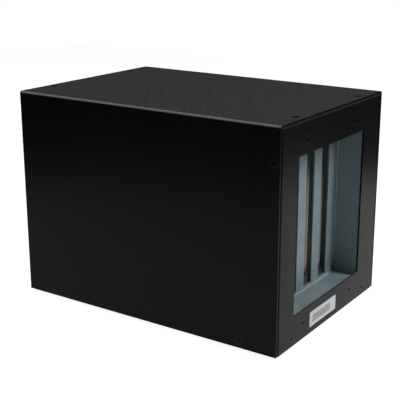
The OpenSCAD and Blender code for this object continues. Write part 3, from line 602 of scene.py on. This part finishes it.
def makePrintInk(look):
    material, tree, shader = startMaterial("printInk", Specular_IOR_Level=look["specular"])
    grain = useGroup(tree, fineGrain, Size=look["grainSize"], Softness=look["grainSoftness"])
    setColour(tree, shader, mixColour(tree, grain.outputs["Mask"], look["dark"], look["light"]))
    setRoughness(tree, shader, grain.outputs["Mask"], look["roughness"])
    return material


markLook = {
    "dark": (0.62, 0.62, 0.6),
    "light": (0.74, 0.74, 0.72),
    "cloudSize": 1.0,  # millimetres
    "cloudContrast": 1.4,
    "roughness": (0.4, 0.6),
    "specular": 0.4,
}


def makeMarkWhite(look):
    material, tree, shader = startMaterial("markWhite", Specular_IOR_Level=look["specular"])
    cloud = useGroup(tree, mottle, Size=look["cloudSize"], Contrast=look["cloudContrast"])
    setColour(tree, shader, mixColour(tree, cloud.outputs["Mask"], look["dark"], look["light"]))
    setRoughness(tree, shader, cloud.outputs["Mask"], look["roughness"])
    return material


def slotName(name):
    # zincSteel becomes zinc_steel, as the record names its slots
    return "".join("_" + letter.lower() if letter.isupper() else letter for letter in name)


finishes = {
    "powder_black": makePowderBlack(powderCoat),
    "board_green": makeBoardGreen(boardLook),
    "lamp_green": makeLampGreen(lampLook),
}
for make, looks, texture in ((makeSheetMetal, sheetMetal, sheetTexture),
        (makeTurnedMetal, turnedMetal, turnedTexture), (makeMoulding, mouldings, mouldedTexture)):
    for finish, look in looks.items():
        finishes[slotName(finish)] = make(finish, look, texture)
stickerPaper = makeStickerPaper(paperLook)
printInk = makePrintInk(inkLook)
markWhite = makeMarkWhite(markLook)

for subpart in frame["record"]["subparts"]:
    mesh = frame["nodes"][subpart["node"]].data
    mesh.materials.clear()
    mesh.materials.append(finishes[subpart["material_slot"]])
print("stage: finishes on", len(frame["nodes"]), "nodes")


# small pieces

def roundedOutline(width, height, radius, steps=6):
    points = []
    corners = ((1, 1, 0), (-1, 1, 90), (-1, -1, 180), (1, -1, 270))
    for signX, signY, start in corners:
        for step in range(steps + 1):
            angle = math.radians(start + 90 * step / steps)
            points.append((signX * (width / 2 - radius) + radius * math.cos(angle),
                signY * (height / 2 - radius) + radius * math.sin(angle)))
    return points


def rectangle(width, height, x=0.0, y=0.0):
    corners = ((-1, -1), (1, -1), (1, 1), (-1, 1))
    return [(x + signX * width / 2, y + signY * height / 2) for signX, signY in corners]


def disc(radius, steps=32):
    angles = [math.tau * step / steps for step in range(steps)]
    return [(radius * math.cos(angle), radius * math.sin(angle)) for angle in angles]


def ringParts(inner, outer, start=0.0, sweep=360.0, steps=24):
    parts = []
    for step in range(steps):
        first = math.radians(start + sweep * step / steps)
        last = math.radians(start + sweep * (step + 1) / steps)
        corners = ((inner, first), (outer, first), (outer, last), (inner, last))
        parts.append([(reach * math.cos(turn), reach * math.sin(turn)) for reach, turn in corners])
    return parts


def placing(origin, acrossAxis, outAxis):
    # local x along acrossAxis, local z along outAxis, in millimetres round the origin
    across = Vector(acrossAxis).normalized()
    out = Vector(outAxis).normalized()
    up = out.cross(across)
    turn = Matrix((across, up, out)).transposed().to_4x4()
    return Matrix.Translation(Vector(origin) * mm) @ turn @ Matrix.Diagonal((mm, mm, mm, 1))


def upright(x, y, z):
    return placing((x, y, z), (1, 0, 0), (0, 0, 1))


sunk = -0.02  # millimetres that a plate's lowest face lies below the surface it sits on


def addPlates(name, plates, material, body):
    # each plate is (outline points, lowest height, highest height, matrix that places it)
    mesh = bmesh.new()
    for outline, low, high, place in plates:
        rings = [[mesh.verts.new(place @ Vector((x, y, z))) for x, y in outline] for z in (low, high)]
        mesh.faces.new(list(reversed(rings[0])))
        mesh.faces.new(rings[1])
        for index in range(len(outline)):
            after = (index + 1) % len(outline)
            mesh.faces.new((rings[0][index], rings[0][after], rings[1][after], rings[1][index]))
    bmesh.ops.recalc_face_normals(mesh, faces=mesh.faces)
    data = bpy.data.meshes.new(name)
    mesh.to_mesh(data)
    mesh.free()
    data.materials.append(material)
    piece = bpy.data.objects.new(name, data)
    bpy.context.scene.collection.objects.link(piece)
    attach(piece, body)


stickerLook = {
    "middle": (-8.75, 10.9),  # millimetres on the end face, sideways and up
    "size": (35.5, 9.8),
    "corner": 0.9,
    "thick": 0.08,
    "ink": 0.01,
    "barFirst": -13.4,
    "barStep": 1.0,
    "barCount": 24,
    "barWidth": 0.5,
    "barHeight": 5.0,
    "barLift": -0.1,
}


def addSticker(look):
    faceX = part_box("slot_end_panel")[1].x
    # local x runs to the right on the face, local y runs up and local z out of the case
    face = placing((faceX / mm, *look["middle"]), (0, 1, 0), (1, 0, 0))
    paper = [(roundedOutline(*look["size"], look["corner"]), sunk, look["thick"], face)]
    addPlates("infoSticker", paper, stickerPaper, "case")

    low, high = look["thick"], look["thick"] + look["ink"]
    outline = rectangle(look["barWidth"], look["barHeight"])
    bars = []
    for index in range(look["barCount"]):
        shift = Matrix.Translation((look["barFirst"] + index * look["barStep"], look["barLift"], 0))
        bars.append((outline, low, high, face @ shift))
    addPlates("stickerBars", bars, printInk, "case")


addSticker(stickerLook)
print("stage: sticker")


rockerMarks = {
    "lineMiddle": (-99.05, -48.0, 42.09),  # millimetres, on the raised half
    "lineOut": (-0.951, 0.0, -0.309),
    "lineSize": (0.8, 3.4),
    "ringMiddle": (-97.78, -48.0, 34.02),
    "ringOut": (-1.0, 0.0, 0.0),
    "ringRadii": (1.25, 1.85),
    "thick": 0.05,
}


def addRockerMarks(look):
    line = placing(look["lineMiddle"], (0, 1, 0), look["lineOut"])
    ring = placing(look["ringMiddle"], (0, 1, 0), look["ringOut"])
    plates = [(rectangle(*look["lineSize"]), sunk, look["thick"], line)]
    plates += [(part, sunk, look["thick"], ring) for part in ringParts(*look["ringRadii"])]
    addPlates("rockerMarks", plates, markWhite, "rocker")


socketPins = {
    "pitch": 1.0,  # millimetres
    "width": 0.6,
    "thick": 0.12,
    "endGap": 5.4,  # from the hooked end of the socket to the first pin
    "keyFrom": 11.0,  # the stretch without pins, measured from the other end
    "keyTo": 14.6,
    "lastGap": 2.6,
    "slotHalf": 0.9,
    "height": (3.6, 10.7),  # above the board
}


def addSocketPins(look):
    plates = []
    for number in range(1, 5):
        low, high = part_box("card_socket_" + str(number))
        middle = (low.y + high.y) / 2 / mm
        end = high.x / mm
        foot = upright(0, 0, low.z / mm)
        x = low.x / mm + look["endGap"]
        while x < end - look["lastGap"]:
            if not look["keyFrom"] < end - x < look["keyTo"]:
                for side in (-1, 1):
                    y = middle + side * (look["slotHalf"] - look["thick"] / 2)
                    pin = rectangle(look["width"], look["thick"], x, y)
                    plates.append((pin, *look["height"], foot))
            x += look["pitch"]
    addPlates("socketPins", plates, finishes["brass_plain"], "case")


linkPins = {
    "count": 17,
    "pitch": 0.8,  # millimetres
    "width": 0.4,
    "from": -82.8,
    "to": -75.8,
    "middle": -12.0,
    "heights": ((18.88, 18.98), (20.22, 20.32)),
}


def addLinkPins(look):
    length, middleX = look["to"] - look["from"], (look["to"] + look["from"]) / 2
    plates = []
    for low, high in look["heights"]:
        for index in range(look["count"]):
            y = look["middle"] + (index - (look["count"] - 1) / 2) * look["pitch"]
            pin = rectangle(length, look["width"], middleX, y)
            plates.append((pin, low, high, upright(0, 0, 0)))
    addPlates("linkPins", plates, finishes["brass_plain"], "case")


capacitorLook = {
    "middles": ((-72.6, -53.0), (-72.6, -43.5), (-72.6, -34.0)),  # millimetres
    "radius": 4.0,
    "topRadius": 3.2,
    "topSunk": 0.1,
    "topThick": 0.04,
    "ventSize": (4.4, 0.22),
    "ventThick": 0.01,
    "bandDepths": (-0.06, 0.03),  # from the sleeve's face, inwards and outwards
    "bandHeights": (1.9, 10.1),
    "bandStart": 150.0,  # degrees round the sleeve
    "bandSweep": 48.0,
    "bandSteps": 8,
}


def addCapacitorDetails(look):
    low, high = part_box("capacitors")
    inner, outer = (look["radius"] + depth for depth in look["bandDepths"])
    band = ringParts(inner, outer, look["bandStart"], look["bandSweep"], look["bandSteps"])
    ventHeights = (look["topThick"], look["topThick"] + look["ventThick"])
    tops, vents, bands = [], [], []
    for x, y in look["middles"]:
        top = placing((x, y, high.z / mm), (1, 1, 0), (0, 0, 1))
        tops.append((disc(look["topRadius"]), -look["topSunk"], look["topThick"], top))
        for size in (look["ventSize"], look["ventSize"][::-1]):
            vents.append((rectangle(*size), *ventHeights, top))
        foot = upright(x, y, low.z / mm)
        bands += [(part, *look["bandHeights"], foot) for part in band]
    addPlates("capacitorTops", tops, finishes["fin_aluminium"], "case")
    addPlates("capacitorVents", vents, printInk, "case")
    addPlates("capacitorBands", bands, markWhite, "case")


pinSleeves = {
    "inletMiddle": (-94.24, -48.0, 20.9),  # millimetres
    "inletRadius": 1.1,
    "inletLength": 8.2,
    "headerMiddles": ((-80.0, 48.46), (-80.0, 51.0), (-80.0, 53.54)),
    "headerHeights": (16.31, 21.45),
    "headerWidth": 0.7,
}


def addPinSleeves(look):
    inlet = placing(look["inletMiddle"], (0, 1, 0), (1, 0, 0))
    plates = [(disc(look["inletRadius"]), 0.0, look["inletLength"], inlet)]
    square = rectangle(look["headerWidth"], look["headerWidth"])
    for x, y in look["headerMiddles"]:
        plates.append((square, *look["headerHeights"], upright(x, y, 0)))
    addPlates("pinSleeves", plates, finishes["screw_steel"], "case")


smallParts = {
    "bodySize": (1.0, 0.9, 0.5),  # millimetres
    "endLength": 0.35,
    "places": (
        (-50, -26), (-50, -22), (-50, -18), (-46, -26), (-46, -22), (-46, -18), (-40, -4),
        (-36, -4), (-32, -4), (-40, -9), (-36, -9), (-32, -9), (-52, 38), (-48, 38),
        (-44, 38), (-40, 38), (48, -30), (48, -10), (48, 10), (48, 30)),
}


def addSmallParts(look):
    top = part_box("backplane_board")[1].z / mm
    width, depth, height = look["bodySize"]
    offset = (width + look["endLength"]) / 2
    bodies, ends = [], []
    for x, y in look["places"]:
        place = upright(x, y, top)
        bodies.append((rectangle(width, depth), sunk, height, place))
        for side in (-1, 1):
            ends.append((rectangle(look["endLength"], depth, side * offset), sunk, height, place))
    addPlates("smallPartBodies", bodies, finishes["chip_black"], "case")
    addPlates("smallPartEnds", ends, finishes["screw_steel"], "case")


addRockerMarks(rockerMarks)
addSocketPins(socketPins)
addLinkPins(linkPins)
addCapacitorDetails(capacitorLook)
addPinSleeves(pinSleeves)
addSmallParts(smallParts)
print("stage: small pieces")


# light and floor

studio = {
    "key": {"place": (0.6, 0.17, 0.62), "aim": (0.2, 0.1, 0.0), "size": (0.2, 0.4),
        "power": 6.9, "colour": (1.0, 0.985, 0.965)},  # metres and watts
    "top": {"place": (-0.45, -0.2, 0.8), "aim": (0.0, 0.0, 0.1), "size": (0.6, 0.6),
        "power": 6.8, "colour": (1.0, 1.0, 1.0)},
    "worldFill": 0.07,
    "floorColour": (0.25, 0.25, 0.25),
    "floorGlow": 0.93,
    "floorHalf": 1.0,
    "floorHeight": -0.0002,  # just clear of the feet
    "cardRadius": 0.4,
    "cardHeight": 1.2,
    "cardGlow": 0.04,
    "cardSteps": 48,
}


def addLamp(name, look):
    data = bpy.data.lights.new(name, "AREA")
    data.shape = "RECTANGLE"
    data.size, data.size_y = look["size"]
    data.energy = look["power"]
    data.color = look["colour"]
    lamp = bpy.data.objects.new(name, data)
    lamp.location = look["place"]
    aim = Vector(look["aim"]) - Vector(look["place"])
    lamp.rotation_euler = aim.to_track_quat("-Z", "Y").to_euler()
    bpy.context.scene.collection.objects.link(lamp)


def seenDirectly(tree):
    # 1 for what the camera sees, also by reflection or through a clear part
    path = addNode(tree, "ShaderNodeLightPath")
    direct = mathNode(tree, "MAXIMUM", path.outputs["Is Camera Ray"], path.outputs["Is Glossy Ray"])
    return mathNode(tree, "MAXIMUM", direct, path.outputs["Is Transmission Ray"])


def setWorld(look):
    world = bpy.data.worlds.new("studioWorld")
    bpy.context.scene.world = world
    world.use_nodes = True
    tree = world.node_tree
    tree.nodes.clear()
    output = addNode(tree, "ShaderNodeOutputWorld")
    seen = addNode(tree, "ShaderNodeBackground", Color=white, Strength=1.0)
    soft = addNode(tree, "ShaderNodeBackground", Color=white, Strength=look["worldFill"])
    mix = addNode(tree, "ShaderNodeMixShader")
    tree.links.new(seenDirectly(tree), mix.inputs["Fac"])
    join(tree, soft, "Background", mix, 1)
    join(tree, seen, "Background", mix, 2)
    join(tree, mix, "Shader", output, "Surface")


def startStagePiece(name):
    material = bpy.data.materials.new(name)
    material.use_nodes = True
    tree = material.node_tree
    tree.nodes.clear()
    return material, tree, addNode(tree, "ShaderNodeOutputMaterial")


def addStagePiece(name, points, faces, material):
    data = bpy.data.meshes.new(name)
    data.from_pydata(points, [], faces)
    data.materials.append(material)
    piece = bpy.data.objects.new(name, data)
    bpy.context.scene.collection.objects.link(piece)
    return piece


def addFloor(look):
    material, tree, output = startStagePiece("paleFloor")
    paint = addNode(tree, "ShaderNodeBsdfDiffuse", Color=opaque(look["floorColour"]))
    glow = addNode(tree, "ShaderNodeEmission", Color=white, Strength=look["floorGlow"])
    both = addNode(tree, "ShaderNodeAddShader")
    join(tree, paint, "BSDF", both, 0)
    join(tree, glow, "Emission", both, 1)
    mix = addNode(tree, "ShaderNodeMixShader")
    tree.links.new(seenDirectly(tree), mix.inputs["Fac"])
    join(tree, paint, "BSDF", mix, 1)
    join(tree, both, "Shader", mix, 2)
    join(tree, mix, "Shader", output, "Surface")
    side = 2 * look["floorHalf"]
    points = [(x, y, look["floorHeight"]) for x, y in rectangle(side, side)]
    floor = addStagePiece("paleFloor", points, [(0, 1, 2, 3)], material)


def addDarkCard(look):
    # a dark ring round the table that only reflections see
    material, tree, output = startStagePiece("darkCard")
    grey = addNode(tree, "ShaderNodeEmission", Color=white, Strength=look["cardGlow"])
    join(tree, grey, "Emission", output, "Surface")
    count = look["cardSteps"]
    ring = disc(look["cardRadius"], count)
    points = [(x, y, z) for z in (0.0, look["cardHeight"]) for x, y in ring]
    faces = []
    for step in range(count):
        after = (step + 1) % count
        faces.append((step, after, count + after, count + step))
    card = addStagePiece("darkCard", points, faces, material)
    card.visible_camera = False
    card.visible_diffuse = False
    card.visible_transmission = False
    card.visible_shadow = False


bpy.context.scene.view_settings.view_transform = "Standard"
addLamp("keyLight", studio["key"])
addLamp("topLight", studio["top"])
setWorld(studio)
addFloor(studio)
addDarkCard(studio)
print("stage: light and floor")
